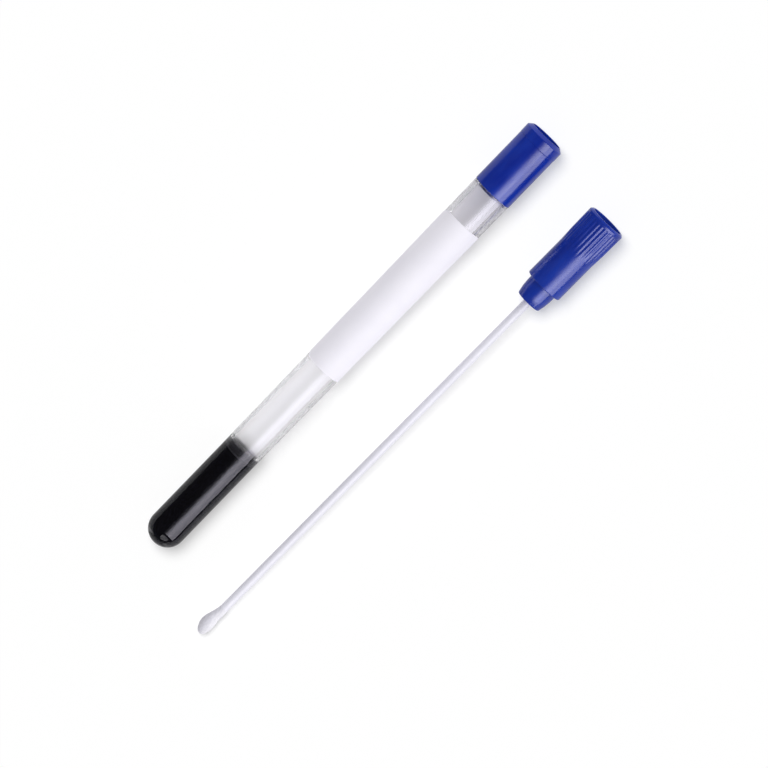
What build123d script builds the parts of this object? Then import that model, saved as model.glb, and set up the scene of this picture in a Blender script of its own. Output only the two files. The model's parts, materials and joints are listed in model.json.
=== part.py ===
from build123d import *

import os
from math import atan2, cos, degrees, radians, sin

# Specimen swab tube: a round-bottomed transport tube with gel medium, label and push-in cap, and the
# swab that belongs to it, drawn out and laid beside it. Both lie on the plane Z = 0 with their caps
# towards +X. Millimetres. The origin is under the middle of the whole kit.

# --- Tube, measured along its own axis from the tip of the round bottom ---
tube_length = 160.0  # tip of the bottom to the mouth
bore_diameter = 9.6
barrel_wall = 1.05
barrel_length = 38.0  # tip of the bottom to the start of the draft
shoulder_wall = 1.7  # widest place, at the step below the neck
neck_length = 14.5  # thinner mouth that carries the cap
neck_wall = 1.0
bottom_thickness = 1.2
mouth_chamfer = 0.2

# --- Gel medium ---
gel_level = 36.6  # flat top of the gel, from the tip of the bottom
meniscus_height = 3.0  # film that climbs the wall above the flat top
meniscus_width = 0.8
meniscus_edge = 0.08
gel_clearance = 0.02

# --- Label ---
label_gap = 12.4  # clear barrel between the label and the step below the neck
label_length = 60.2
label_thickness = 0.1
label_clearance = 0.02
label_corner = 6.0
label_left_angle = 104.0  # from the top of the tube round to the edge on the +Y side
label_right_angle = 126.0  # from the top of the tube round to the edge on the -Y side

# --- Plug fit, shared by both caps ---
plug_clearance = 0.05  # radial, to the bore
plug_floor = 1.2

# --- Plain tube cap, measured from the lower edge of its skirt ---
skirt_wall = 0.75
skirt_clearance = 0.05  # radial, to the neck
cap_length = 23.3
band_length = 4.0  # head band at the open end
band_step = 0.07  # radial, head band over the skirt
band_wall = 1.5
lip_bevel_length = 1.05  # wide bevel round the open end
lip_bevel_width = 1.3
seat_clearance = 0.02  # skirt edge to the step of the tube
neck_end_clearance = 0.1  # mouth of the tube to the end of the groove
web_thickness = 1.4  # between the neck groove and the open cavity
cap_plug_reach = 0.9  # end of the plug beyond the skirt edge
cap_plug_wall = 1.1
cap_plug_chamfer = 0.5

# --- Swab cap, measured from its shoulder ---
handle_length = 27.0  # shoulder to the open end
shoulder_width = 1.375  # radial, from the plug out to the handle
shoulder_chamfer = 0.3
swab_plug_length = 6.55
rib_start = 13.6
rib_rise = 4.8  # length over which the ribs grow out of the handle
rib_rise_height = 0.215  # radial, at the end of the rise
rim_height = 0.315  # radial, at the open end
rim_band = 1.4  # plain band between the ribs and the open end
rim_bevel = 0.6
rib_count = 30
groove_width = 0.5
groove_root_width = 0.14
groove_start_depth = 0.03
handle_wall = 1.1  # at the rim
handle_floor = 1.5  # thickness of the ledge over the plug
swab_plug_wall = 1.0  # at the narrow end of the second lead-in step
plug_lead = 2.4  # length of each of the two steps of the tapered lead-in
plug_lead_taper = 0.2  # radial, at the end of the first step
plug_end_taper = 0.7  # radial, at the end of the plug
boss_wall = 1.065
boss_cover = 1.2  # plastic over the end of the stick
stick_seat = 12.0  # length of stick inside the cap
stick_fit = 0.01  # radial, stick to its socket

# --- Stick and bud, measured from the tip of the bud ---
bud_bottom_gap = 11.7  # bud to the inside of the bottom, with the swab in the tube
stick_diameter = 2.65
stick_tip_cover = 1.2  # fibre over the end of the stick
bud_thickness = 0.9  # fibre around the stick
bud_length = 10.6
bud_nose = 3.6  # rounded end, longer than it is wide
bud_taper = 5.6  # length over which the bud thins out along the stick
bud_tail_thickness = 0.12
bud_fit = 0.01

# --- How the two lie ---
swab_spacing = 28.8  # tube axis to swab axis, beside the round bottom
swab_yaw = 0.55  # degrees by which the swab points away from the tube
swab_lead = 10.85  # tip of the bud beyond the tip of the tube

# --- Sizes that follow ---
bore_radius = bore_diameter / 2
barrel_radius = bore_radius + barrel_wall
shoulder_radius = bore_radius + shoulder_wall
neck_radius = bore_radius + neck_wall
step_position = tube_length - neck_length
inner_centre = bottom_thickness + bore_radius
plug_radius = bore_radius - plug_clearance
plug_lead_radius = plug_radius - plug_lead_taper
plug_end_radius = plug_radius - plug_end_taper
cap_radius = neck_radius + skirt_clearance + skirt_wall
band_radius = cap_radius + band_step
cap_start = step_position + seat_clearance
cap_end = cap_start + cap_length
stick_radius = stick_diameter / 2
bud_radius = stick_radius + bud_thickness
handle_radius = plug_radius + shoulder_width
rim_radius = handle_radius + rim_height
shoulder_position = tube_length - bottom_thickness - bud_bottom_gap
swab_end = shoulder_position + handle_length


def barrel_radius_at(position):
    """Outside radius of the drafted barrel between its straight part and the step."""
    share = (position - barrel_length) / (step_position - barrel_length)
    return barrel_radius + share * (shoulder_radius - barrel_radius)


def lying_plane(tip_x, tip_y, rest_position, rest_radius, tilt, yaw):
    """Plane through the axis of a lying piece: local x along the axis, local y upwards.

    The piece touches the ground at rest_position along its axis, where its radius is rest_radius.
    """
    return Plane(
        origin=(tip_x, tip_y, rest_radius - rest_position * sin(tilt)),
        x_dir=(cos(tilt) * cos(yaw), -cos(tilt) * sin(yaw), sin(tilt)),
        z_dir=(-sin(yaw), -cos(yaw), 0),
    )


def plane_at(plane, position):
    """The same plane with its origin moved along the axis."""
    return Plane(plane.from_local_coords((position, 0, 0)), x_dir=plane.x_dir, z_dir=plane.z_dir)


def turned_plane(plane, angle):
    """The same plane turned about the axis, from upwards towards the -Y side."""
    across = plane.z_dir.rotate(Axis(plane.origin, plane.x_dir), angle)
    return Plane(plane.origin, x_dir=plane.x_dir, z_dir=across)


def cross_plane(plane, position):
    """Plane square to the axis at a position, looking towards the open end."""
    return Plane(plane.from_local_coords((position, 0, 0)), x_dir=plane.y_dir, z_dir=plane.x_dir)


def gentle_taper(start, end):
    """Straight wall with little draft, as a two-point curve so that its revolved face meshes in one row."""
    return Bezier(start, end)


def round_end(tip, length, radius):
    """Chords of a rounded end, from its tip on the axis to its full radius."""
    angles = [radians(angle) for angle in (0, 30, 60, 90)]
    return [(tip + length * (1 - cos(angle)), radius * sin(angle)) for angle in angles]


# The tube lies on its round bottom and the lower edge of its cap, the swab on its bud and its shoulder.
tube_tilt = atan2(cap_radius - barrel_radius, cap_start - barrel_radius)
shoulder_rest = shoulder_position + shoulder_chamfer
swab_tilt = atan2(handle_radius - bud_radius, shoulder_rest - bud_nose)
yaw = radians(swab_yaw)

kit_length = swab_lead + cap_end * cos(tube_tilt) + band_radius * sin(tube_tilt)
kit_width = band_radius + swab_spacing + (swab_end - swab_lead) * sin(yaw) + rim_radius
tube_tip_x = swab_lead - kit_length / 2
tube_axis_y = kit_width / 2 - band_radius
swab_axis_y = tube_axis_y - swab_spacing + swab_lead * sin(yaw)

tube_plane = lying_plane(tube_tip_x, tube_axis_y, barrel_radius, barrel_radius, tube_tilt, 0)
swab_plane = lying_plane(-kit_length / 2, swab_axis_y, bud_nose, bud_radius, swab_tilt, yaw)
tube_axis = Axis(tube_plane.origin, tube_plane.x_dir)
swab_axis = Axis(swab_plane.origin, swab_plane.x_dir)


# --- Tube: round bottom, straight barrel, drafted barrel, and the neck inside the cap ---
with BuildPart() as tube:
    with BuildSketch(tube_plane):
        with BuildLine():
            RadiusArc((0, 0), (barrel_radius, barrel_radius), barrel_radius)
            Line((barrel_radius, barrel_radius), (barrel_length, barrel_radius))
            gentle_taper((barrel_length, barrel_radius), (step_position, shoulder_radius))
            Polyline(
                (step_position, shoulder_radius),
                (step_position, neck_radius),
                (tube_length, neck_radius),
                (tube_length, bore_radius),
                (inner_centre, bore_radius),
            )
            RadiusArc((inner_centre, bore_radius), (bottom_thickness, 0), -bore_radius)
            Line((bottom_thickness, 0), (0, 0))
        make_face()
    revolve(axis=tube_axis)
    mouth_edges = tube.edges().filter_by(GeomType.CIRCLE).sort_by(tube_axis)[-2:]
    chamfer(mouth_edges, length=mouth_chamfer)
tube.part.label = "tube"

# --- Gel medium: fills the round bottom, flat on top, with a film that climbs the wall ---
gel_radius = bore_radius - gel_clearance
gel_tip = bottom_thickness + gel_clearance
film_end = gel_level + meniscus_height
with BuildPart() as medium:
    with BuildSketch(tube_plane):
        with BuildLine():
            Polyline(
                *round_end(gel_tip, gel_radius, gel_radius),
                (film_end, gel_radius),
                (film_end, gel_radius - meniscus_edge),
                (gel_level, gel_radius - meniscus_width),
                (gel_level, 0),
                close=True,
            )
        make_face()
    revolve(axis=tube_axis)
medium.part.label = "medium"

# --- Label: thin sheet wrapped over the top of the drafted barrel, with rounded corners ---
label_end = step_position - label_gap
label_start = label_end - label_length


def label_corner_waste(angle, side, edge, end):
    """Face outside a rounded label corner, drawn square to the radius through the corner's middle.

    side is 1 for the +Y edge of the label and -1 for the other, end is 1 towards the cap and -1 away.
    """
    radius = barrel_radius_at(edge) + label_thickness
    half_corner = label_corner / radius / 2
    corner_chord = 2 * radius * sin(half_corner)
    middle = turned_plane(tube_plane, -side * (angle - degrees(half_corner)))
    outward = Plane(tube_plane.origin, x_dir=tube_plane.x_dir, z_dir=middle.y_dir)
    centre = Vector(edge - end * corner_chord, -side * corner_chord / 2)
    with BuildSketch(outward) as waste:
        with Locations(centre + Vector(end * corner_chord, side * corner_chord)):
            Rectangle(2 * corner_chord, 2 * corner_chord)
        with Locations(centre):
            Circle(corner_chord, mode=Mode.SUBTRACT)
    return waste.sketch


with BuildPart() as label:
    with BuildSketch(turned_plane(tube_plane, -label_left_angle)):
        with BuildLine():
            inner_start = barrel_radius_at(label_start) + label_clearance
            inner_end = barrel_radius_at(label_end) + label_clearance
            Polyline(
                (label_start, inner_start),
                (label_end, inner_end),
                (label_end, inner_end + label_thickness),
                (label_start, inner_start + label_thickness),
                close=True,
            )
        make_face()
    revolve(axis=tube_axis, revolution_arc=label_left_angle + label_right_angle)
    for wrap_angle, side in ((label_left_angle, 1), (label_right_angle, -1)):
        for edge, end in ((label_start, -1), (label_end, 1)):
            waste_face = label_corner_waste(wrap_angle, side, edge, end)
            extrude(waste_face, amount=2 * shoulder_radius, mode=Mode.SUBTRACT)
label.part.label = "label"


# --- Tube cap: skirt over the neck, plug in the bore, and a head that is open at the end ---
cap_plane = plane_at(tube_plane, cap_start)
groove_end = neck_length - seat_clearance + neck_end_clearance
skirt_bore = neck_radius + skirt_clearance
cap_plug_bore = plug_radius - cap_plug_wall
cap_cavity = band_radius - band_wall
cavity_floor = groove_end + web_thickness
band_start = cap_length - band_length
with BuildPart() as tube_cap:
    with BuildSketch(cap_plane):
        with BuildLine():
            Polyline(
                (-cap_plug_reach, plug_radius - cap_plug_chamfer),
                (cap_plug_chamfer - cap_plug_reach, plug_radius),
                (groove_end, plug_radius),
                (groove_end, skirt_bore),
                (0, skirt_bore),
                (0, cap_radius),
                (band_start, cap_radius),
                (band_start, band_radius),
                (cap_length - lip_bevel_length, band_radius),
                (cap_length, band_radius - lip_bevel_width),
                (cap_length, cap_cavity),
                (cavity_floor, cap_cavity),
                (cavity_floor, cap_plug_bore),
                (plug_floor - cap_plug_reach, cap_plug_bore),
                (plug_floor - cap_plug_reach, 0),
                (-cap_plug_reach, 0),
                close=True,
            )
        make_face()
    revolve(axis=tube_axis)
tube_cap.part.label = "tube_cap"

# --- Swab cap: plug, stepped shoulder, smooth barrel, flared ribs and a plain rim band ---
handle_plane = plane_at(swab_plane, shoulder_position)
socket_radius = stick_radius + stick_fit
socket_end = stick_seat - swab_plug_length
boss_radius = socket_radius + boss_wall
boss_end = socket_end + boss_cover
swab_plug_bore = plug_lead_radius - swab_plug_wall
handle_cavity = rim_radius - handle_wall
rib_end = handle_length - rim_band
groove_root = handle_radius - groove_start_depth
groove_depth = rim_radius - groove_root
with BuildPart() as swab_cap:
    with BuildSketch(handle_plane):
        with BuildLine():
            lead_end = plug_lead - swab_plug_length
            Line((-swab_plug_length, plug_end_radius), (lead_end, plug_lead_radius))
            gentle_taper((lead_end, plug_lead_radius), (lead_end + plug_lead, plug_radius))
            Polyline(
                (lead_end + plug_lead, plug_radius),
                (0, plug_radius),
                (0, handle_radius - shoulder_chamfer),
                (shoulder_chamfer, handle_radius),
                (rib_start, handle_radius),
                (rib_start + rib_rise, handle_radius + rib_rise_height),
                (handle_length - rim_bevel, rim_radius),
                (handle_length, rim_radius - rim_bevel),
                (handle_length, handle_cavity),
                (handle_floor, handle_cavity),
                (handle_floor, swab_plug_bore),
                (plug_floor - swab_plug_length, swab_plug_bore),
                (plug_floor - swab_plug_length, boss_radius),
                (boss_end, boss_radius),
                (boss_end, 0),
                (socket_end, 0),
                (socket_end, socket_radius),
                (-swab_plug_length, socket_radius),
                (-swab_plug_length, plug_end_radius),
            )
        make_face()
    revolve(axis=swab_axis)
    with BuildSketch(cross_plane(handle_plane, rib_end)):
        with PolarLocations(groove_root, rib_count):
            Polygon(
                (0, -groove_root_width / 2),
                (groove_depth, -groove_width / 2),
                (2 * groove_depth, -groove_width / 2),
                (2 * groove_depth, groove_width / 2),
                (groove_depth, groove_width / 2),
                (0, groove_root_width / 2),
                align=None,
            )
    extrude(amount=rib_start - rib_end, mode=Mode.SUBTRACT)
swab_cap.part.label = "swab_cap"

# --- Stick: plain rod from inside the bud to the end of its socket ---
stick_length = shoulder_position - swab_plug_length + stick_seat - stick_tip_cover
with BuildPart() as swab_stick:
    with BuildSketch(cross_plane(swab_plane, stick_tip_cover)):
        Circle(stick_radius)
    extrude(amount=stick_length)
swab_stick.part.label = "swab_stick"

# --- Bud: wound fibre, round nose and a tail that thins out along the stick ---
bud_bore = stick_radius + bud_fit
bud_tail = stick_radius + bud_tail_thickness
with BuildPart() as swab_bud:
    with BuildSketch(swab_plane):
        with BuildLine():
            Polyline(
                *round_end(0, bud_nose, bud_radius),
                (bud_length - bud_taper, bud_radius),
                (bud_length, bud_tail),
                (bud_length, bud_bore),
                (stick_tip_cover - bud_fit, bud_bore),
                (stick_tip_cover - bud_fit, 0),
                close=True,
            )
        make_face()
    revolve(axis=swab_axis)
swab_bud.part.label = "swab_bud"

# --- Output ---
os.makedirs("parts", exist_ok=True)
export_step(tube.part, "parts/tube.step")
export_step(medium.part, "parts/medium.step")
export_step(label.part, "parts/label.step")
export_step(tube_cap.part, "parts/tube_cap.step")
export_step(swab_cap.part, "parts/swab_cap.step")
export_step(swab_stick.part, "parts/swab_stick.step")
export_step(swab_bud.part, "parts/swab_bud.step")
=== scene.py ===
import json
from math import cos, degrees, exp, pi, radians, sin, sqrt, tan

import bpy
from mathutils import Matrix, Vector, noise


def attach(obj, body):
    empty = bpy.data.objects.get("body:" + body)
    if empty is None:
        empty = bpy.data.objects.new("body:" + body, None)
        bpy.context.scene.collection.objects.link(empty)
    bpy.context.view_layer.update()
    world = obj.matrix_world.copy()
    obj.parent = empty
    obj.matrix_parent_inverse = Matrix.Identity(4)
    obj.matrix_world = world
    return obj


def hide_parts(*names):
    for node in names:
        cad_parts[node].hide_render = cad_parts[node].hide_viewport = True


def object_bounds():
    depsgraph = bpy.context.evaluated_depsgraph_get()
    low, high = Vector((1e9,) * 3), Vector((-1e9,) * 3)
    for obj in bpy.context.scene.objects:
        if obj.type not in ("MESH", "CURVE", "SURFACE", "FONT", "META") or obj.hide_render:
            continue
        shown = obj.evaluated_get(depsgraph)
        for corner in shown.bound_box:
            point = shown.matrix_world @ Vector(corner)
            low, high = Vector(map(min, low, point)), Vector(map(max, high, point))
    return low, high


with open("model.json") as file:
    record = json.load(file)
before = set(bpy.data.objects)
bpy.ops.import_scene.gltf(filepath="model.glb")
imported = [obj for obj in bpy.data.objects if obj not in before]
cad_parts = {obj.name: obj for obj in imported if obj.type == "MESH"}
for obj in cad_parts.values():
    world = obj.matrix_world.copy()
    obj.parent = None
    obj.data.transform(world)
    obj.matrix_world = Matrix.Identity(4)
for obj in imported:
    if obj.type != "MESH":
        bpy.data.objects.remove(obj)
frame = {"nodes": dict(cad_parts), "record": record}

# Specimen swab tube: a clear round-bottomed tube with black gel, a paper label and a blue cap, and the
# swab that belongs to it beside it. Each piece is drawn in the axes of its own item, tube or swab: x runs
# along the item from its tip to its open end, y towards +Y, z up. Sizes are in millimetres (mm) until a
# mesh is made.

CAD_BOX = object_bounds()
MM = 0.001
KIT = "tube_and_swab"
CAP = "cap"
SHARP_ANGLE = 32  # degrees between faces, from which their edge is drawn sharp


# --- Places, from the frame ---
def lying_axes(point, direction):
    """Matrix from an item's own axes to the frame, with its origin at point on the axis."""
    along = Vector(direction).normalized()
    across = Vector((0, 0, 1)).cross(along).normalized()
    up = along.cross(across)
    turn = Matrix((along, across, up)).transposed().to_4x4()
    return Matrix.Translation(point) @ turn


def reach(node, axes):
    """First place, last place and largest radius of a CAD node along an item's axis, in mm."""
    to_axes = axes.inverted()
    points = [to_axes @ v.co for v in frame["nodes"][node].data.vertices]
    along = [p.x / MM for p in points]
    return min(along), max(along), max(sqrt(p.y**2 + p.z**2) for p in points) / MM


def moved_to_tip(axes, node):
    """The same axes with their origin at the first place of a node."""
    return axes @ Matrix.Translation((reach(node, axes)[0] * MM, 0, 0))


def end_disc_centre(node, side):
    """Area-weighted centre of a node's flat end that looks along side * X."""
    mesh = frame["nodes"][node].data
    discs = [p for p in mesh.polygons if p.normal.x * side > cos(radians(3))]
    area = sum(p.area for p in discs)
    return sum((p.center * p.area for p in discs), Vector()) / area


rack = frame["record"]["mounts"][0]
TUBE = moved_to_tip(lying_axes(rack["pos_m"], [-a for a in rack["axis"]]), "tube")
stick_start = end_disc_centre("swab_stick", -1)
stick_end = end_disc_centre("swab_stick", 1)
SWAB = moved_to_tip(lying_axes(stick_start, stick_end - stick_start), "swab_bud")

mouth = reach("tube", TUBE)[1]
shoulder_radius = reach("tube", TUBE)[2]
gel_film_end = reach("medium", TUBE)[1]
label_start, label_end, _ = reach("label", TUBE)
cap_plug_end, cap_end, band_radius = reach("tube_cap", TUBE)
swab_plug_end, swab_end, rim_radius = reach("swab_cap", SWAB)
stick_first, stick_last, stick_radius = reach("swab_stick", SWAB)
bud_end, bud_radius = reach("swab_bud", SWAB)[1:]

# --- Fine sizes, mm ---
barrel_radius = 5.85
barrel_length = 38.0  # straight part, before the draft
bore_radius = 4.8
neck_radius = 5.8
neck_length = 14.5
bottom_thickness = 1.2
mouth_round = 0.2
step = mouth - neck_length
inner_centre = bottom_thickness + bore_radius  # centre of the round inside
gate_depth = 0.12
gate_radius = 0.35
gate_rim_depth = 0.05
gate_rim_radius = 0.6

gel_grip = 0.02  # gel beyond the bore, so that no air lies between them
film_height = 3.0
film_width = 0.8
film_edge = 0.06
film_drop = 0.1  # middle of the gel's top, below the foot of the film
gel_lean = 6.0  # degrees
lean_reach = 4.0  # below the top, where the lean has faded out
gel_radius = bore_radius + gel_grip
gel_level = gel_film_end - film_height

label_left = 104.0  # degrees from the top of the tube to the label's edge, +Y side
label_right = 126.0
label_corner = 6.0
label_lift = 0.02
label_thickness = 0.1

seat_clearance = 0.02  # skirt edge to the step
band_step = 0.07  # radial, head band over the skirt
cap_start = step + seat_clearance
cap_radius = band_radius - band_step
skirt_bore = 5.85
plug_radius = 4.75
cap_plug_chamfer = 0.5
cap_plug_bore = 3.65
plug_floor = 1.2
neck_end_clearance = 0.1
web_thickness = 1.4
groove_end = mouth + neck_end_clearance
web_end = groove_end + web_thickness
band_length = 4.0
lip_bevel_length = 1.05
lip_bevel_width = 1.3
band_wall = 1.5
cap_cavity = band_radius - band_wall
score_width = 0.2  # groove under the head band
score_floor = 0.09  # its lowest line, before the band
score_depth = 0.07

swab_plug_length = 6.55
plug_lead = 2.4
plug_lead_radius = 4.55
plug_end_radius = 4.05
handle_start = swab_plug_end + swab_plug_length
handle_radius = 6.125
plain_length = 13.6  # handle before the ribs
rib_start = handle_start + plain_length
rib_rise = 4.8
rib_rise_radius = 6.34
rim_band = 1.4
rim_bevel = 0.6
rib_count = 30
rib_depth = 0.2
rib_fade = 0.3  # length over which the grooves run out at the band
rib_end = swab_end - rim_band
handle_wall = 1.1
ledge_thickness = 1.5
handle_bore = rim_radius - handle_wall
handle_floor = handle_start + ledge_thickness
swab_plug_bore = 3.55
boss_radius = 2.4
boss_cover = 1.2  # plastic over the end of the stick
socket_radius = stick_radius + 0.01
stick_surface = stick_radius - 0.01
stick_top = stick_last - 0.02
seam_height = 0.02
seam_width = 0.09
seam_sink = 0.004  # taken off the rod for each seam

bud_nose = 4.1
bud_bore = stick_radius - 0.02
bud_tail = stick_radius + 0.03
bud_shift = 0.55  # the fibre sits a little to the tube's side of the stick
stick_cover = 1.2  # fibre over the end of the stick
strand_depth = 0.03
cross_depth = 0.015
lump_height = 0.1
fibre_tuck = 0.06  # keeps the lumps near the CAD bud


# --- Outlines ---
def rounded(outline, pieces=6):
    """Points (x, r) of an outline whose corners (x, r, fillet) are rounded by that radius."""
    points = []
    last = len(outline) - 1
    for i, corner in enumerate(outline):
        here = Vector(corner[:2])
        fillet = corner[2] if len(corner) > 2 else 0
        if not fillet or i in (0, last):
            points.append(here)
            continue
        back = (Vector(outline[i - 1][:2]) - here).normalized()
        ahead = (Vector(outline[i + 1][:2]) - here).normalized()
        half = back.angle(ahead) / 2
        trim = fillet / tan(half)
        centre = here + (back + ahead).normalized() * fillet / sin(half)
        first = here + back * trim - centre
        turn = pi - 2 * half
        sign = 1 if back.x * ahead.y - back.y * ahead.x < 0 else -1
        for k in range(pieces + 1):
            angle = sign * turn * k / pieces
            points.append(centre + Matrix.Rotation(angle, 2) @ first)
    return points


def arc(centre, radius, start, finish, pieces):
    """Points of an arc about (centre, 0). Angles in degrees from the tip side, towards the open end."""
    angles = [radians(start + (finish - start) * k / pieces) for k in range(pieces + 1)]
    return [Vector((centre - radius * cos(a), radius * sin(a))) for a in angles]


def spread(points, longest):
    """The outline with long runs divided, so that no step is longer than that."""
    out = [points[0]]
    for a, b in zip(points, points[1:]):
        count = max(1, int((b - a).length / longest + 0.999))
        out += [a.lerp(b, k / count) for k in range(1, count + 1)]
    return out


# --- Meshes ---
def piece(name, verts, faces, axes, body, nodes, materials, which=None):
    """A finished piece: smooth shaded, placed, riding on its body and standing for its CAD nodes.

    which(x, r) gives the number of a face's material from its middle, in mm.
    """
    mesh = bpy.data.meshes.new(name)
    mesh.from_pydata([Vector(v) * MM for v in verts], [], faces)
    for material in materials:
        mesh.materials.append(material)
    if which:
        for face in mesh.polygons:
            middle = face.center / MM
            face.material_index = which(middle.x, sqrt(middle.y**2 + middle.z**2))
    mesh.transform(axes)
    mesh.validate()
    mesh.shade_smooth()
    mesh.set_sharp_from_angle(angle=radians(SHARP_ANGLE))
    obj = bpy.data.objects.new(name, mesh)
    bpy.context.scene.collection.objects.link(obj)
    weighted = obj.modifiers.new("weighted_normals", "WEIGHTED_NORMAL")
    weighted.keep_sharp = True
    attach(obj, body)
    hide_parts(*nodes)
    return obj


def lathe(outline, steps, shape=None):
    """Vertices and faces of a closed turned solid whose outline starts and ends on the axis or on itself.

    shape(x, r, angle) may move a point: it returns the new (x, y, z). Angles run from up towards -Y.
    """
    closed = outline[0].y > 1e-6
    verts, faces, rings = [], [], []
    for x, r in outline:
        if r < 1e-6:
            rings.append([len(verts)])
            verts.append(shape(x, 0, 0) if shape else (x, 0, 0))
            continue
        rings.append(list(range(len(verts), len(verts) + steps)))
        for k in range(steps):
            angle = 2 * pi * k / steps
            verts.append(shape(x, r, angle) if shape else (x, -r * sin(angle), r * cos(angle)))
    pairs = list(zip(rings, rings[1:])) + ([(rings[-1], rings[0])] if closed else [])
    for a, b in pairs:
        for k in range(steps):
            n = (k + 1) % steps
            if len(a) == 1 and len(b) == 1:
                break
            if len(a) == 1:
                faces.append((a[0], b[n], b[k]))
            elif len(b) == 1:
                faces.append((a[k], a[n], b[0]))
            else:
                faces.append((a[k], a[n], b[n], b[k]))
    return verts, faces


# --- Materials ---
BLUE_GLOW = (0.26, 0.32, 0.47)  # what a thin blue wall lets through at each surface


def place_on(axes, x):
    """Where a place on an item's axis, in mm, lies along the frame's X, in metres."""
    return (axes @ Vector((x * MM, 0, 0))).x


def make_material(name):
    """A new node material: (material, its nodes, a function that links sockets, its Principled node)."""
    material = bpy.data.materials.new(name)
    material.use_nodes = True
    tree = material.node_tree
    return material, tree.nodes, tree.links.new, tree.nodes["Principled BSDF"]


def add_noise(nodes, link, scale, detail, stretch=(1, 1, 1)):
    """Noise in the piece's own axes. scale is per metre, stretch multiplies it along x, y and z."""
    place = nodes.new("ShaderNodeTexCoord")
    mapping = nodes.new("ShaderNodeMapping")
    mapping.inputs["Scale"].default_value = stretch
    texture = nodes.new("ShaderNodeTexNoise")
    texture.inputs["Scale"].default_value = scale
    texture.inputs["Detail"].default_value = detail
    texture.inputs["Roughness"].default_value = 0.5
    link(place.outputs["Object"], mapping.inputs["Vector"])
    link(mapping.outputs["Vector"], texture.inputs["Vector"])
    return texture.outputs["Fac"]


def add_ramp(nodes, link, source, stops):
    """Colour ramp over a value. stops are (position, colour)."""
    ramp = nodes.new("ShaderNodeValToRGB")
    elements = ramp.color_ramp.elements
    while len(elements) < len(stops):
        elements.new(0.5)
    for element, (position, colour) in zip(elements, stops):
        element.position = position
        element.color = (*colour, 1)
    link(source, ramp.inputs["Fac"])
    return ramp.outputs["Color"]


def add_range(nodes, link, source, low, high, start=0.3, finish=0.7):
    """A value carried from start..finish to low..high."""
    node = nodes.new("ShaderNodeMapRange")
    for key, value in (("From Min", start), ("From Max", finish), ("To Min", low), ("To Max", high)):
        node.inputs[key].default_value = value
    link(source, node.inputs["Value"])
    return node.outputs["Result"]


def add_bump(nodes, link, source, height, shader, under=None):
    """Bump of that height in mm on a shader's normal, over another bump if one is given."""
    bump = nodes.new("ShaderNodeBump")
    bump.inputs["Strength"].default_value = 1.0
    bump.inputs["Distance"].default_value = height * MM
    link(source, bump.inputs["Height"])
    if under:
        link(under, bump.inputs["Normal"])
    link(bump.outputs["Normal"], shader.inputs["Normal"])
    return bump.outputs["Normal"]


def frame_axis(nodes, link, axis):
    """A point's place along one axis of the frame, in metres."""
    place = nodes.new("ShaderNodeTexCoord")
    parts = nodes.new("ShaderNodeSeparateXYZ")
    link(place.outputs["Object"], parts.inputs["Vector"])
    return parts.outputs[axis]


def combine(nodes, link, operation, first, second):
    """Two values, or a value and a number, put together by a Math node."""
    node = nodes.new("ShaderNodeMath")
    node.operation = operation
    link(first, node.inputs[0])
    if isinstance(second, float):
        node.inputs[1].default_value = second
    else:
        link(second, node.inputs[1])
    return node.outputs[0]


def blend_colours(nodes, link, way, first, second):
    """Two colours put together in full by that way of blending."""
    node = nodes.new("ShaderNodeMix")
    node.data_type = "RGBA"
    node.blend_type = way
    node.inputs["Factor"].default_value = 1
    link(first, node.inputs[6])
    link(second, node.inputs[7])
    return node.outputs[2]


def mix_shaders(nodes, link, share, first, second):
    """Two shaders, with a share of the second: a number or a value."""
    node = nodes.new("ShaderNodeMixShader")
    if isinstance(share, (int, float)):
        node.inputs["Fac"].default_value = share
    else:
        link(share, node.inputs["Fac"])
    link(first, node.inputs[1])
    link(second, node.inputs[2])
    return node.outputs["Shader"]


def add_clear(nodes, colour=(1, 1, 1)):
    """A shader that lets light of that colour straight through."""
    clear = nodes.new("ShaderNodeBsdfTransparent")
    clear.inputs["Color"].default_value = (*colour, 1)
    return clear


def pass_lamps(nodes, link, seen, clear):
    """The finished surface: one shader to the eye, the other to light on its way from a lamp."""
    rays = nodes.new("ShaderNodeLightPath")
    surface = mix_shaders(nodes, link, rays.outputs["Is Shadow Ray"], seen, clear.outputs["BSDF"])
    link(surface, nodes["Material Output"].inputs["Surface"])


def let_light_through(nodes, link, shader, colour):
    """Thin material: that colour of a lamp's light passes each surface and softens the shadow."""
    pass_lamps(nodes, link, shader.outputs["BSDF"], add_clear(nodes, colour))


def moulded_plastic(name, dark, light, roughness, specular=0.5, passing=BLUE_GLOW):
    """Moulded plastic: flow-marked colour, satin skin with fine pits and faint scuffs."""
    material, nodes, link, shader = make_material(name)
    flow = add_noise(nodes, link, 200, 5, stretch=(0.4, 1, 1))
    link(add_ramp(nodes, link, flow, [(0.3, dark), (0.7, light)]), shader.inputs["Base Color"])
    scuffs = add_noise(nodes, link, 900, 5, stretch=(0.25, 1, 1))
    link(
        add_range(nodes, link, scuffs, roughness - 0.05, roughness + 0.07),
        shader.inputs["Roughness"],
    )
    pits = add_noise(nodes, link, 5200, 2)
    waves = add_noise(nodes, link, 420, 2, stretch=(0.5, 1, 1))
    under = add_bump(nodes, link, waves, 0.012, shader)
    add_bump(nodes, link, pits, 0.0015, shader, under=under)
    shader.inputs["Specular IOR Level"].default_value = specular
    let_light_through(nodes, link, shader, passing)
    return material


def along_tube(nodes, link):
    """A value that runs from 0 at the tube's tip to 1 at its mouth."""
    place = frame_axis(nodes, link, "X")
    return add_range(nodes, link, place, 0, 1, place_on(TUBE, 0), place_on(TUBE, mouth))


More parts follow.
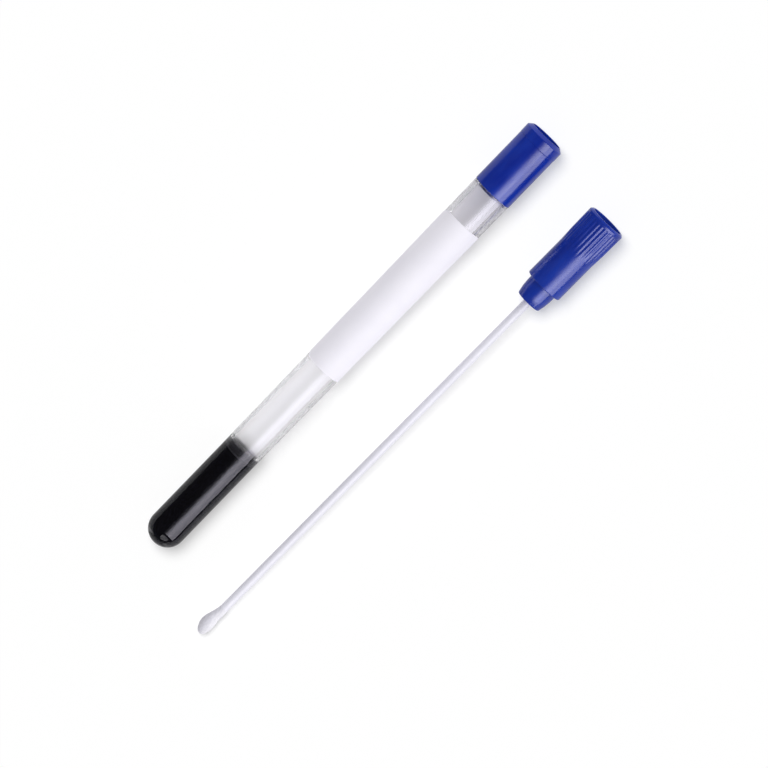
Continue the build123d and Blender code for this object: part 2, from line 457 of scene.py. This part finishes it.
def clear_plastic(name, roughness, open_roughness, outside=False, straight_share=0):
    """Clear moulded plastic that lets lamps through, greyer between the label and the cap: partly for its
    thicker wall there, partly painted shade of the label and the cap.

    open_roughness is the roughness beyond the gel. outside adds a coat between the label and the cap.
    straight_share is the light let through unbent.
    """
    material, nodes, link, shader = make_material(name)
    along = along_tube(nodes, link)
    haze = add_noise(nodes, link, 140, 4, stretch=(0.2, 1, 1))
    cloudy = add_ramp(nodes, link, haze, [(0.3, (0.962, 0.959, 0.975)), (0.7, (0.99, 0.987, 0.997))])
    behind_label, past_label = (label_end - 8) / mouth, label_end / mouth
    past_gel = gel_film_end / mouth
    # Painted shade: the wall's colour darkens from the label's end to the step, partly for the thicker
    # wall, partly as the shade of the label and the cap.
    thick_wall_and_shade = add_ramp(
        nodes,
        link,
        along,
        [
            (behind_label, (1, 1, 1)),
            (past_label, (0.975, 0.965, 0.985)),
            (step / mouth, (0.815, 0.81, 0.85)),
        ],
    )
    link(blend_colours(nodes, link, "MULTIPLY", cloudy, thick_wall_and_shade), shader.inputs["Base Color"])
    if outside:
        coat = add_range(nodes, link, along, 0, 0.9, (label_end - 1) / mouth, past_label)
        link(coat, shader.inputs["Coat Weight"])
        shader.inputs["Coat Roughness"].default_value = 0.06
    gloss = add_range(nodes, link, along, roughness, open_roughness, past_gel, past_gel + 0.003)
    uneven = add_range(nodes, link, haze, 0.95, 1.1)
    link(combine(nodes, link, "MULTIPLY", gloss, uneven), shader.inputs["Roughness"])
    shader.inputs["Transmission Weight"].default_value = 1.0
    shader.inputs["Specular Tint"].default_value = (0.93, 0.915, 1, 1)
    shader.inputs["IOR"].default_value = 1.49
    ripple = add_noise(nodes, link, 330, 2, stretch=(0.12, 1, 1))
    add_bump(nodes, link, ripple, 0.0008, shader)
    straight = add_clear(nodes, (1, 0.995, 1))
    seen = mix_shaders(
        nodes, link, straight_share, shader.outputs["BSDF"], straight.outputs["BSDF"]
    )
    open_wall, neck_wall = (0.81, 0.81, 0.82), (0.56, 0.56, 0.58)
    shade = add_ramp(
        nodes,
        link,
        along,
        [
            (past_gel, (0.3, 0.3, 0.3)),
            (past_gel + 0.02, open_wall),
            (behind_label, open_wall),
            (past_label, neck_wall),
            ((step - 1.6) / mouth, neck_wall),
            (step / mouth, (0.93, 0.93, 0.94)),
        ],
    )
    clear = add_clear(nodes)
    link(shade, clear.inputs["Color"])
    pass_lamps(nodes, link, seen, clear)
    return material


def charcoal_gel(name, specular, film=False):
    """Black gel with fine charcoal specks. A film of it on the wall lets some light through, and its foot
    and top edge carry painted highlight lines.
    """
    material, nodes, link, shader = make_material(name)
    specks = add_noise(nodes, link, 2600, 4)
    speckled = add_ramp(
        nodes, link, specks, [(0.35, (0.0015, 0.0015, 0.0035)), (0.72, (0.009, 0.008, 0.018))]
    )
    link(speckled, shader.inputs["Base Color"])
    link(add_range(nodes, link, specks, 0.12, 0.3), shader.inputs["Roughness"])
    shader.inputs["Specular IOR Level"].default_value = specular
    lumps = add_noise(nodes, link, 700, 3)
    add_bump(nodes, link, lumps, 0.02, shader)
    if not film:
        return material
    start, finish = place_on(TUBE, gel_level), place_on(TUBE, gel_film_end)
    climb = add_range(nodes, link, frame_axis(nodes, link, "X"), 0, 1, start, finish)
    thinning = add_range(nodes, link, climb, 0.1, 0.52, 0, 1)
    # Painted highlights: light lines at the foot and at the top edge of the film, added to its colour.
    painted_rim_highlights = add_ramp(
        nodes,
        link,
        climb,
        [
            (0.02, (0.07, 0.07, 0.08)),
            (0.1, (0.022, 0.021, 0.026)),
            (0.9, (0.035, 0.034, 0.04)),
            (0.96, (0.3, 0.295, 0.32)),
        ],
    )
    link(blend_colours(nodes, link, "ADD", speckled, painted_rim_highlights), shader.inputs["Base Color"])
    smear = add_noise(nodes, link, 420, 4, stretch=(0.5, 1, 1))
    patches = add_range(nodes, link, smear, 0.75, 1.2)
    share = combine(nodes, link, "MULTIPLY", thinning, patches)
    surface = mix_shaders(
        nodes, link, share, shader.outputs["BSDF"], add_clear(nodes).outputs["BSDF"]
    )
    link(surface, nodes["Material Output"].inputs["Surface"])
    return material


def label_paper(name):
    """Smooth coated paper with faint fibres."""
    material, nodes, link, shader = make_material(name)
    cloud = add_noise(nodes, link, 180, 5)
    link(
        add_ramp(nodes, link, cloud, [(0.3, (0.905, 0.885, 0.965)), (0.7, (0.93, 0.91, 0.985))]),
        shader.inputs["Base Color"],
    )
    fibres = add_noise(nodes, link, 2400, 5, stretch=(0.3, 1, 1))
    link(add_range(nodes, link, fibres, 0.5, 0.65), shader.inputs["Roughness"])
    add_bump(nodes, link, fibres, 0.008, shader)
    shader.inputs["Specular IOR Level"].default_value = 0.3
    let_light_through(nodes, link, shader, (0.72, 0.72, 0.73))
    return material


def swab_fibre(name):
    """Wound white fibre with a soft sheen, with painted shade: greyer on the side towards +Y."""
    material, nodes, link, shader = make_material(name)
    strands = add_noise(nodes, link, 2400, 5, stretch=(0.35, 1, 1))
    # Painted shade: the bud darkens towards +Y, mixed with random tone from the strands.
    centre = (SWAB @ Vector((bud_end / 2 * MM, 0, 0))).y
    start, finish = centre - bud_radius * 0.5 * MM, centre + bud_radius * MM
    painted_side_shade = add_range(nodes, link, frame_axis(nodes, link, "Y"), 0, 1, start, finish)
    side_shade_and_patches = combine(nodes, link, "ADD", painted_side_shade, add_range(nodes, link, strands, -0.2, 0.2))
    stops = [(0.05, (0.88, 0.87, 0.93)), (0.55, (0.72, 0.71, 0.785)), (1, (0.62, 0.61, 0.67))]
    link(add_ramp(nodes, link, side_shade_and_patches, stops), shader.inputs["Base Color"])
    link(add_range(nodes, link, strands, 0.7, 0.95), shader.inputs["Roughness"])
    add_bump(nodes, link, strands, 0.05, shader)
    shader.inputs["Sheen Weight"].default_value = 0.1
    shader.inputs["Sheen Roughness"].default_value = 0.5
    shader.inputs["Specular IOR Level"].default_value = 0.2
    let_light_through(nodes, link, shader, (0.6, 0.6, 0.61))
    return material


clear_finish = clear_plastic("clear_plastic", 0.06, 0.06, outside=True)
bore_finish = clear_plastic("clear_plastic_bore", 0.17, 0.3, straight_share=0.3)
gel_finish = charcoal_gel("charcoal_gel", 0.02)
film_finish = charcoal_gel("charcoal_gel_film", 0.15, film=True)
paper_finish = label_paper("label_paper")
cap_finish = moulded_plastic("blue_plastic", (0.002, 0.016, 0.27), (0.006, 0.034, 0.38), 0.16, 0.64)
handle_finish = moulded_plastic(
    "blue_plastic_ribbed", (0.003, 0.021, 0.28), (0.008, 0.040, 0.39), 0.19, 0.6
)
stick_finish = moulded_plastic(
    "white_plastic", (0.79, 0.78, 0.865), (0.83, 0.82, 0.905), 0.4, passing=(0.67, 0.67, 0.68)
)
fibre_finish = swab_fibre("swab_fibre")


# --- Tube: round bottom with a small gate mark, drafted barrel, step and neck ---
gate_mark = [
    Vector((gate_depth, 0)),
    Vector((gate_depth, gate_radius)),
    Vector((gate_rim_depth, gate_rim_radius)),
]
outside = gate_mark + arc(barrel_radius, barrel_radius, 9, 90, 27)
walls = rounded(
    [
        (barrel_radius, barrel_radius),
        (barrel_length, barrel_radius, 30),
        (step, shoulder_radius, 0.1),
        (step, neck_radius, 0.08),
        (mouth, neck_radius, mouth_round),
        (mouth, bore_radius, mouth_round),
        (inner_centre, bore_radius),
    ]
)
inside = arc(inner_centre, bore_radius, 90, 0, 27)
tube_outline = outside + spread(walls, 8)[1:] + inside[1:]


def on_bore(x, r):
    """The second finish on the wall of the bore, the first elsewhere."""
    return int(r < bore_radius + 0.1 and x > bottom_thickness - 0.1)


verts, faces = lathe(tube_outline, 144)
tube_finishes = [clear_finish, bore_finish]
piece("tube_shell", verts, faces, TUBE, KIT, ["tube"], tube_finishes, on_bore)

# --- Gel: fills the round bottom, with a concave top whose film climbs the wall ---
film = []
film_pieces = 24
for k in range(film_pieces + 1):
    share = k / film_pieces
    thickness = film_edge + (film_width - film_edge) * share**3
    film.append(Vector((gel_film_end - film_height * share, gel_radius - thickness)))
gel_outline = (
    arc(inner_centre, gel_radius, 0, 90, 24)
    + spread([Vector((inner_centre, gel_radius)), Vector((gel_film_end, gel_radius))], 3)[1:]
    + film
    + [Vector((gel_level - film_drop, gel_radius * f)) for f in (0.7, 0.5, 0.25, 0)]
)


def set_leaning(x, r, angle):
    """The gel set with the tube leaning a little: its top slopes, and the film's edge is uneven."""
    share = min(1.0, max(0.0, (x - gel_level + lean_reach) / lean_reach))
    x -= share * share * tan(radians(gel_lean)) * r * cos(angle)
    film_share = max(0.0, (x - gel_level) / film_height)
    wave = 0.12 * sin(3 * angle + 0.7) + 0.07 * sin(7 * angle + 2.1) - 0.19
    return (x + film_share * wave * r / gel_radius, -r * sin(angle), r * cos(angle))


def in_film(x, r):
    """The second finish on the film above the gel's level, the first elsewhere."""
    return int(x > gel_level + 0.15)


verts, faces = lathe(gel_outline, 128, set_leaning)
gel_finishes = [gel_finish, film_finish]
piece("gel_medium", verts, faces, TUBE, KIT, ["medium"], gel_finishes, in_film)


# --- Label: thin sheet round the drafted barrel, with rounded corners ---
def barrel_radius_at(x):
    """Outside radius of the drafted barrel."""
    share = (x - barrel_length) / (step - barrel_length)
    return barrel_radius + share * (shoulder_radius - barrel_radius)


def label_columns(corner_pieces=10, middle_pieces=110):
    """Angles of the sheet's columns in degrees, close together inside the rounded corners."""
    corner = degrees(label_corner / barrel_radius_at(label_start))
    fine = [corner * (1 - cos(pi / 2 * k / corner_pieces)) for k in range(corner_pieces)]
    start, finish = -label_left, label_right
    middle = [
        start + corner + (finish - start - 2 * corner) * k / middle_pieces
        for k in range(middle_pieces + 1)
    ]
    return [start + f for f in fine] + middle + [finish - f for f in reversed(fine)]


def label_sheet(rows=60):
    """Vertices and faces of the sheet: its outside, its underside and the edge round both."""
    columns = label_columns()
    verts = []
    for layer in (1, 0):
        for degree in columns:
            edge = min(degree + label_left, label_right - degree)
            run = radians(edge) * barrel_radius_at(label_start)
            short = max(0.0, label_corner - run)
            trim = label_corner - sqrt(max(0.0, label_corner**2 - short**2))
            for k in range(rows + 1):
                x = label_start + trim + (label_end - label_start - 2 * trim) * k / rows
                angle = radians(degree)
                r = barrel_radius_at(x) + label_lift + layer * label_thickness
                verts.append((x, -r * sin(angle), r * cos(angle)))
    wide, tall = len(columns), rows + 1
    under = wide * tall
    faces = []
    for i in range(wide - 1):
        for k in range(rows):
            a, b = i * tall + k, (i + 1) * tall + k
            faces.append((a, a + 1, b + 1, b))
            faces.append((under + a, under + b, under + b + 1, under + a + 1))
    loop = list(range(tall))
    loop += [i * tall + rows for i in range(1, wide)]
    loop += [(wide - 1) * tall + k for k in range(rows - 1, -1, -1)]
    loop += [i * tall for i in range(wide - 2, 0, -1)]
    for a, b in zip(loop, loop[1:] + loop[:1]):
        faces.append((a, under + a, under + b, b))
    return verts, faces


verts, faces = label_sheet()
piece("label_sheet", verts, faces, TUBE, KIT, ["label"], [paper_finish])

# --- Tube cap: skirt, plug, head band and hollow head with a bevelled lip ---
cap_outline = spread(
    rounded(
        [
            (cap_plug_end, 0),
            (cap_plug_end, plug_radius - cap_plug_chamfer, 0.3),
            (cap_plug_end + cap_plug_chamfer, plug_radius, 0.4),
            (groove_end, plug_radius, 0.1),
            (groove_end, skirt_bore, 0.1),
            (cap_start, skirt_bore, 0.12),
            (cap_start, cap_radius, 0.26),
            (cap_end - band_length - score_width, cap_radius, 0.03),
            (cap_end - band_length - score_floor, cap_radius - score_depth, 0.02),
            (cap_end - band_length, band_radius, 0.05),
            (cap_end - lip_bevel_length, band_radius, 0.22),
            (cap_end, band_radius - lip_bevel_width, 0.09),
            (cap_end, cap_cavity, 0.09),
            (web_end, cap_cavity, 0.3),
            (web_end, cap_plug_bore, 0.25),
            (cap_plug_end + plug_floor, cap_plug_bore, 0.4),
            (cap_plug_end + plug_floor, 0),
        ]
    ),
    4,
)
verts, faces = lathe(cap_outline, 160)
piece("cap_moulding", verts, faces, TUBE, CAP, ["tube_cap"], [cap_finish])


# --- Swab cap: plug, stepped shoulder, handle with flared ribs, plain rim band, hollow head ---
def handle_envelope(x):
    """Outside radius over the ribs."""
    if x < rib_start:
        return handle_radius
    if x < rib_start + rib_rise:
        return handle_radius + (x - rib_start) / rib_rise * (rib_rise_radius - handle_radius)
    share = (x - rib_start - rib_rise) / (swab_end - rim_bevel - rib_start - rib_rise)
    return rib_rise_radius + share * (rim_radius - rib_rise_radius)


def ribbed(x, r, angle):
    """Soft grooves between the ribs, where the point is on the outside of the ribbed zone."""
    if r > handle_radius - 0.01 and rib_start < x < rib_end:
        grown = min(1.0, (x - rib_start) / rib_rise)
        fade_out = min(1.0, (rib_end - x) / rib_fade)
        groove = (0.5 - 0.5 * cos(rib_count * angle)) ** 1.3
        r -= rib_depth * grown**0.7 * fade_out * groove
    return (x, -r * sin(angle), r * cos(angle))


rib_pieces = 24
rib_zone = [rib_start + (rib_end - rib_start) * k / rib_pieces for k in range(rib_pieces + 1)]
rib_points = [Vector((x, handle_envelope(x))) for x in rib_zone]
rib_points += [Vector((rib_end + d, handle_envelope(rib_end + d))) for d in (-0.15, 0.0, 0.05)]
rib_points.sort(key=lambda p: p.x)
plug_part = rounded(
    [
        (stick_last, 0),
        (stick_last, socket_radius),
        (swab_plug_end, socket_radius),
        (swab_plug_end, plug_end_radius, 0.45),
        (swab_plug_end + plug_lead, plug_lead_radius, 4),
        (swab_plug_end + 2 * plug_lead, plug_radius, 4),
        (handle_start, plug_radius, 0.12),
        (handle_start, handle_radius, 0.35),
        (rib_start, handle_radius),
    ]
)
head_part = rounded(
    [
        (rib_end + 0.05, handle_envelope(rib_end + 0.05)),
        (swab_end - rim_bevel, rim_radius, 0.35),
        (swab_end, rim_radius - rim_bevel, 0.2),
        (swab_end, handle_bore, 0.12),
        (handle_floor, handle_bore, 0.4),
        (handle_floor, swab_plug_bore, 0.2),
        (swab_plug_end + plug_floor, swab_plug_bore, 0.3),
        (swab_plug_end + plug_floor, boss_radius, 0.15),
        (stick_last + boss_cover, boss_radius, 0.5),
        (stick_last + boss_cover, 0),
    ]
)
socket, plug_side = plug_part[:2], plug_part[2:]
handle_outline = socket + spread(plug_side, 3)[:-1] + rib_points + spread(head_part, 4)[1:]
verts, faces = lathe(handle_outline, 360, ribbed)
piece("swab_handle", verts, faces, SWAB, KIT, ["swab_cap"], [handle_finish])


# --- Stick: moulded rod with two faint parting lines ---
def parting_lines(x, r, angle):
    """Low ridges along both sides, where the mould parts."""
    for seam in (pi / 2, 3 * pi / 2):
        off = abs(angle - seam) * r
        r += seam_height * exp(-((off / seam_width) ** 2)) - seam_sink
    return (x, -r * sin(angle), r * cos(angle))


stick_outline = spread(
    rounded(
        [
            (stick_first, 0),
            (stick_first, stick_surface, 0.3),
            (stick_top, stick_surface, 0.15),
            (stick_top, 0),
        ]
    ),
    2.5,
)
verts, faces = lathe(stick_outline, 96, parting_lines)
piece("swab_stick_rod", verts, faces, SWAB, KIT, ["swab_stick"], [stick_finish])


# --- Bud: wound fibre, fullest near its tip, thinning out along the stick ---
def bud_outline():
    """Egg shape from the tip to the tail, then back along the stick."""
    nose_pieces, side_pieces = 22, 44
    angles = [pi / 2 * k / nose_pieces for k in range(nose_pieces + 1)]
    points = [Vector((bud_nose * (1 - cos(a)), bud_radius * sin(a))) for a in angles]
    start = bud_nose + 0.4
    for k in range(1, side_pieces + 1):
        share = k / side_pieces
        fall = 1 - (1 - share) ** 1.5
        ease = min(1, share / 0.3)
        fall *= ease * ease * (3 - 2 * ease)
        r = bud_radius + (bud_tail - bud_radius) * fall
        points.append(Vector((start + (bud_end - start) * share, r)))
    ends = [Vector((bud_end, bud_bore)), Vector((stick_cover, bud_bore)), Vector((stick_cover, 0))]
    return points + ends


def wound(x, r, angle):
    """Strands wound round the bud, with soft lumps. The bore stays round the stick."""
    aside = bud_shift * sin(pi * min(1.0, (x + 0.8) / bud_end))
    if r > stick_radius:
        full = min(1, (r - stick_radius) / 0.5)
        strand = abs(sin(9 * angle + 2.3 * x)) ** 0.7
        cross = abs(sin(7 * angle - 1.7 * x + 1.0))
        spot = Vector((x * 0.9, 1.1 * sin(angle), 1.1 * cos(angle)))
        lump = noise.noise(spot) * lump_height
        r += full * (strand_depth * (strand - 1) + cross_depth * (cross - 1) + lump - fibre_tuck)
    if abs(r - bud_bore) < 1e-6:
        aside = 0
    return (x, aside - r * sin(angle), r * cos(angle))


verts, faces = lathe(bud_outline(), 180, wound)
bud = piece(
    "swab_bud_fibre", verts, faces, SWAB, KIT, ["swab_bud"], [fibre_finish]
)


# --- Camera, near the photograph's viewing angle ---
def add_camera():
    tilt = radians(7)  # from straight down, towards the caps
    roll = radians(45.874)
    distance = 2.0  # metres
    shift_x, shift_y, aim_height = 3.14, -1.36, 6
    towards = Vector((sin(tilt), 0, cos(tilt)))
    along = Vector((cos(tilt), 0, -sin(tilt)))
    across = Vector((0, 1, 0))
    right = cos(roll) * along - sin(roll) * across
    up = sin(roll) * along + cos(roll) * across
    low, high = CAD_BOX
    middle = (Vector(low) + Vector(high)) / 2
    aim = Vector((middle.x + shift_x * MM, middle.y + shift_y * MM, aim_height * MM))
    data = bpy.data.cameras.new("camera")
    data.sensor_width = 36
    data.lens = 316.1  # long and far off, for little perspective
    data.clip_end = 10
    camera = bpy.data.objects.new("camera", data)
    camera.matrix_world = (
        Matrix.Translation(aim + towards * distance)
        @ Matrix((right, up, towards)).transposed().to_4x4()
    )
    bpy.context.scene.collection.objects.link(camera)
    bpy.context.scene.camera = camera


add_camera()


# --- Floor: white to the eye and through glass, dimmer in gloss, and it keeps the shadow ---
def add_floor(gloss_share=0.15):
    """Pale matt floor. Half of its white to the eye, in gloss and through glass is a plain glow.

    gloss_share is the part of that glow that shows in gloss.
    """
    half = 3.0  # metres
    mesh = bpy.data.meshes.new("floor")
    corners = [(-half, -half, 0), (half, -half, 0), (half, half, 0), (-half, half, 0)]
    mesh.from_pydata(corners, [], [(0, 1, 2, 3)])
    material, nodes, link, shader = make_material("floor")
    nodes.remove(shader)
    rays = nodes.new("ShaderNodeLightPath").outputs
    through = combine(nodes, link, "MAXIMUM", rays["Is Camera Ray"], rays["Is Transmission Ray"])
    seen = combine(nodes, link, "MAXIMUM", through, rays["Is Glossy Ray"])
    dim_gloss = combine(nodes, link, "MULTIPLY", rays["Is Glossy Ray"], gloss_share)
    shown = combine(nodes, link, "MAXIMUM", through, dim_gloss)
    plain = nodes.new("ShaderNodeBsdfDiffuse")
    plain.inputs["Color"].default_value = (0.9, 0.9, 0.9, 1)
    pale = nodes.new("ShaderNodeBsdfDiffuse")
    pale.inputs["Color"].default_value = (0.5, 0.5, 0.5, 1)
    glow = nodes.new("ShaderNodeEmission")
    link(combine(nodes, link, "MULTIPLY", shown, 0.5), glow.inputs["Strength"])
    both = nodes.new("ShaderNodeAddShader")
    link(pale.outputs[0], both.inputs[0])
    link(glow.outputs[0], both.inputs[1])
    surface = mix_shaders(nodes, link, seen, plain.outputs[0], both.outputs[0])
    link(surface, nodes["Material Output"].inputs["Surface"])
    mesh.materials.append(material)
    floor = bpy.data.objects.new("floor", mesh)
    bpy.context.scene.collection.objects.link(floor)
    return floor


floor = add_floor()


# --- Light: pale surroundings, a strip softbox for the object and a soft key that casts the shadow ---
def add_world(level, gloss_level, seen_level):
    """White surroundings: their strength as light, in gloss, and to the eye and through glass.

    Light that has met a matt surface gets the first strength through glass as well.
    """
    world = bpy.data.worlds.new("studio")
    bpy.context.scene.world = world
    world.use_nodes = True
    nodes, link = world.node_tree.nodes, world.node_tree.links.new
    background = nodes["Background"]
    background.inputs["Color"].default_value = (1, 1, 1, 1)
    rays = nodes.new("ShaderNodeLightPath").outputs
    seen = combine(nodes, link, "MAXIMUM", rays["Is Camera Ray"], rays["Is Transmission Ray"])
    unscattered = add_range(nodes, link, rays["Diffuse Depth"], 1, 0, 0, 1)
    direct = combine(nodes, link, "MULTIPLY", seen, unscattered)
    unseen = add_range(nodes, link, rays["Is Glossy Ray"], level, gloss_level, 0, 1)
    strength = nodes.new("ShaderNodeMapRange")
    strength.inputs["To Max"].default_value = seen_level
    link(unseen, strength.inputs["To Min"])
    link(direct, strength.inputs["Value"])
    link(strength.outputs["Result"], background.inputs["Strength"])


def aimed(name, data, location):
    """A lamp at that place, looking at the frame's origin."""
    lamp = bpy.data.objects.new(name, data)
    back = Vector(location).normalized()
    across = Vector((1, 0, 0)) - back * back.x
    across.normalize()
    lamp.matrix_world = (
        Matrix.Translation(location)
        @ Matrix((across, back.cross(across), back)).transposed().to_4x4()
    )
    bpy.context.scene.collection.objects.link(lamp)
    return lamp


def receivers(lamp, name, objects):
    """The lamp lights only these objects."""
    group = bpy.data.collections.new(name)
    for obj in objects:
        group.objects.link(obj)
    lamp.light_linking.receiver_collection = group


lamp_distance = 0.9  # metres


def add_softbox(name, radiance, start, finish, half_length=17, back_tilt=12):
    """Part of a strip softbox on the -Y side, for the gloss. Angles in degrees off the vertical."""
    middle = radians((start + finish) / 2)
    data = bpy.data.lights.new(name, "AREA")
    data.shape = "RECTANGLE"
    data.size = 2 * lamp_distance * tan(radians(half_length))
    data.size_y = 2 * lamp_distance * tan(radians((finish - start) / 2))
    data.energy = radiance * pi * data.size * data.size_y
    data.color = (0.96, 0.945, 1.0)
    place = Vector((-tan(radians(back_tilt)), -sin(middle), cos(middle))).normalized()
    lamp = aimed(name, data, place * lamp_distance)
    lamp.visible_diffuse = False
    return lamp


def add_foot_glow(radiance=1.5, width=0.5):
    """Small dim panel past the tip, for the patch of gloss on the round bottom."""
    data = bpy.data.lights.new("foot_glow", "AREA")
    data.shape = "ELLIPSE"
    data.size = width
    data.size_y = width * 1.4
    data.energy = radiance * pi * data.size * data.size_y * pi / 4
    place = Vector((-0.79, -0.33, 0.49)).normalized()
    lamp = aimed("foot_glow", data, place * lamp_distance)
    lamp.visible_diffuse = False
    return lamp


def add_sun(name, level, towards, width):
    """Broad soft lamp without gloss, from that direction. width in degrees."""
    data = bpy.data.lights.new(name, "SUN")
    data.energy = level * pi
    data.angle = radians(width)
    lamp = aimed(name, data, towards)
    lamp.visible_glossy = False
    return lamp


pieces = [o for o in bpy.context.scene.objects if o.type == "MESH" and o != floor]
add_world(level=0.12, gloss_level=0.05, seen_level=0.79)
# radiance, first and last angle of each part
softbox_parts = ((0.35, 4, 15), (1.9, 15, 24), (3.9, 24, 35), (5.0, 35, 52), (3.4, 52, 79))
lamps = [
    add_softbox("softbox_%d" % number, *part) for number, part in enumerate(softbox_parts, 1)
]
lamps.append(add_foot_glow())
side_lean, end_rise = radians(50), radians(22)
lamps.append(add_sun("side", 0.28, (0, -sin(side_lean), cos(side_lean)), 50))
lamps.append(add_sun("dome", 0.53, (0, 0, 1), 170))
lamps.append(add_sun("end_fill", 0.3, (cos(end_rise), 0, sin(end_rise)), 60))
for lamp in lamps:
    receivers(lamp, lamp.name + "_lights", pieces)
    lamp.visible_transmission = False
lean = radians(21)
share_x, share_y = 0.5, 0.87  # of the lean, towards +X and +Y
key = add_sun("key", 0.94, (sin(lean) * share_x, sin(lean) * share_y, cos(lean)), 32)
receivers(key, "key_lights", [floor])
bpy.context.scene.view_settings.view_transform = "Standard"
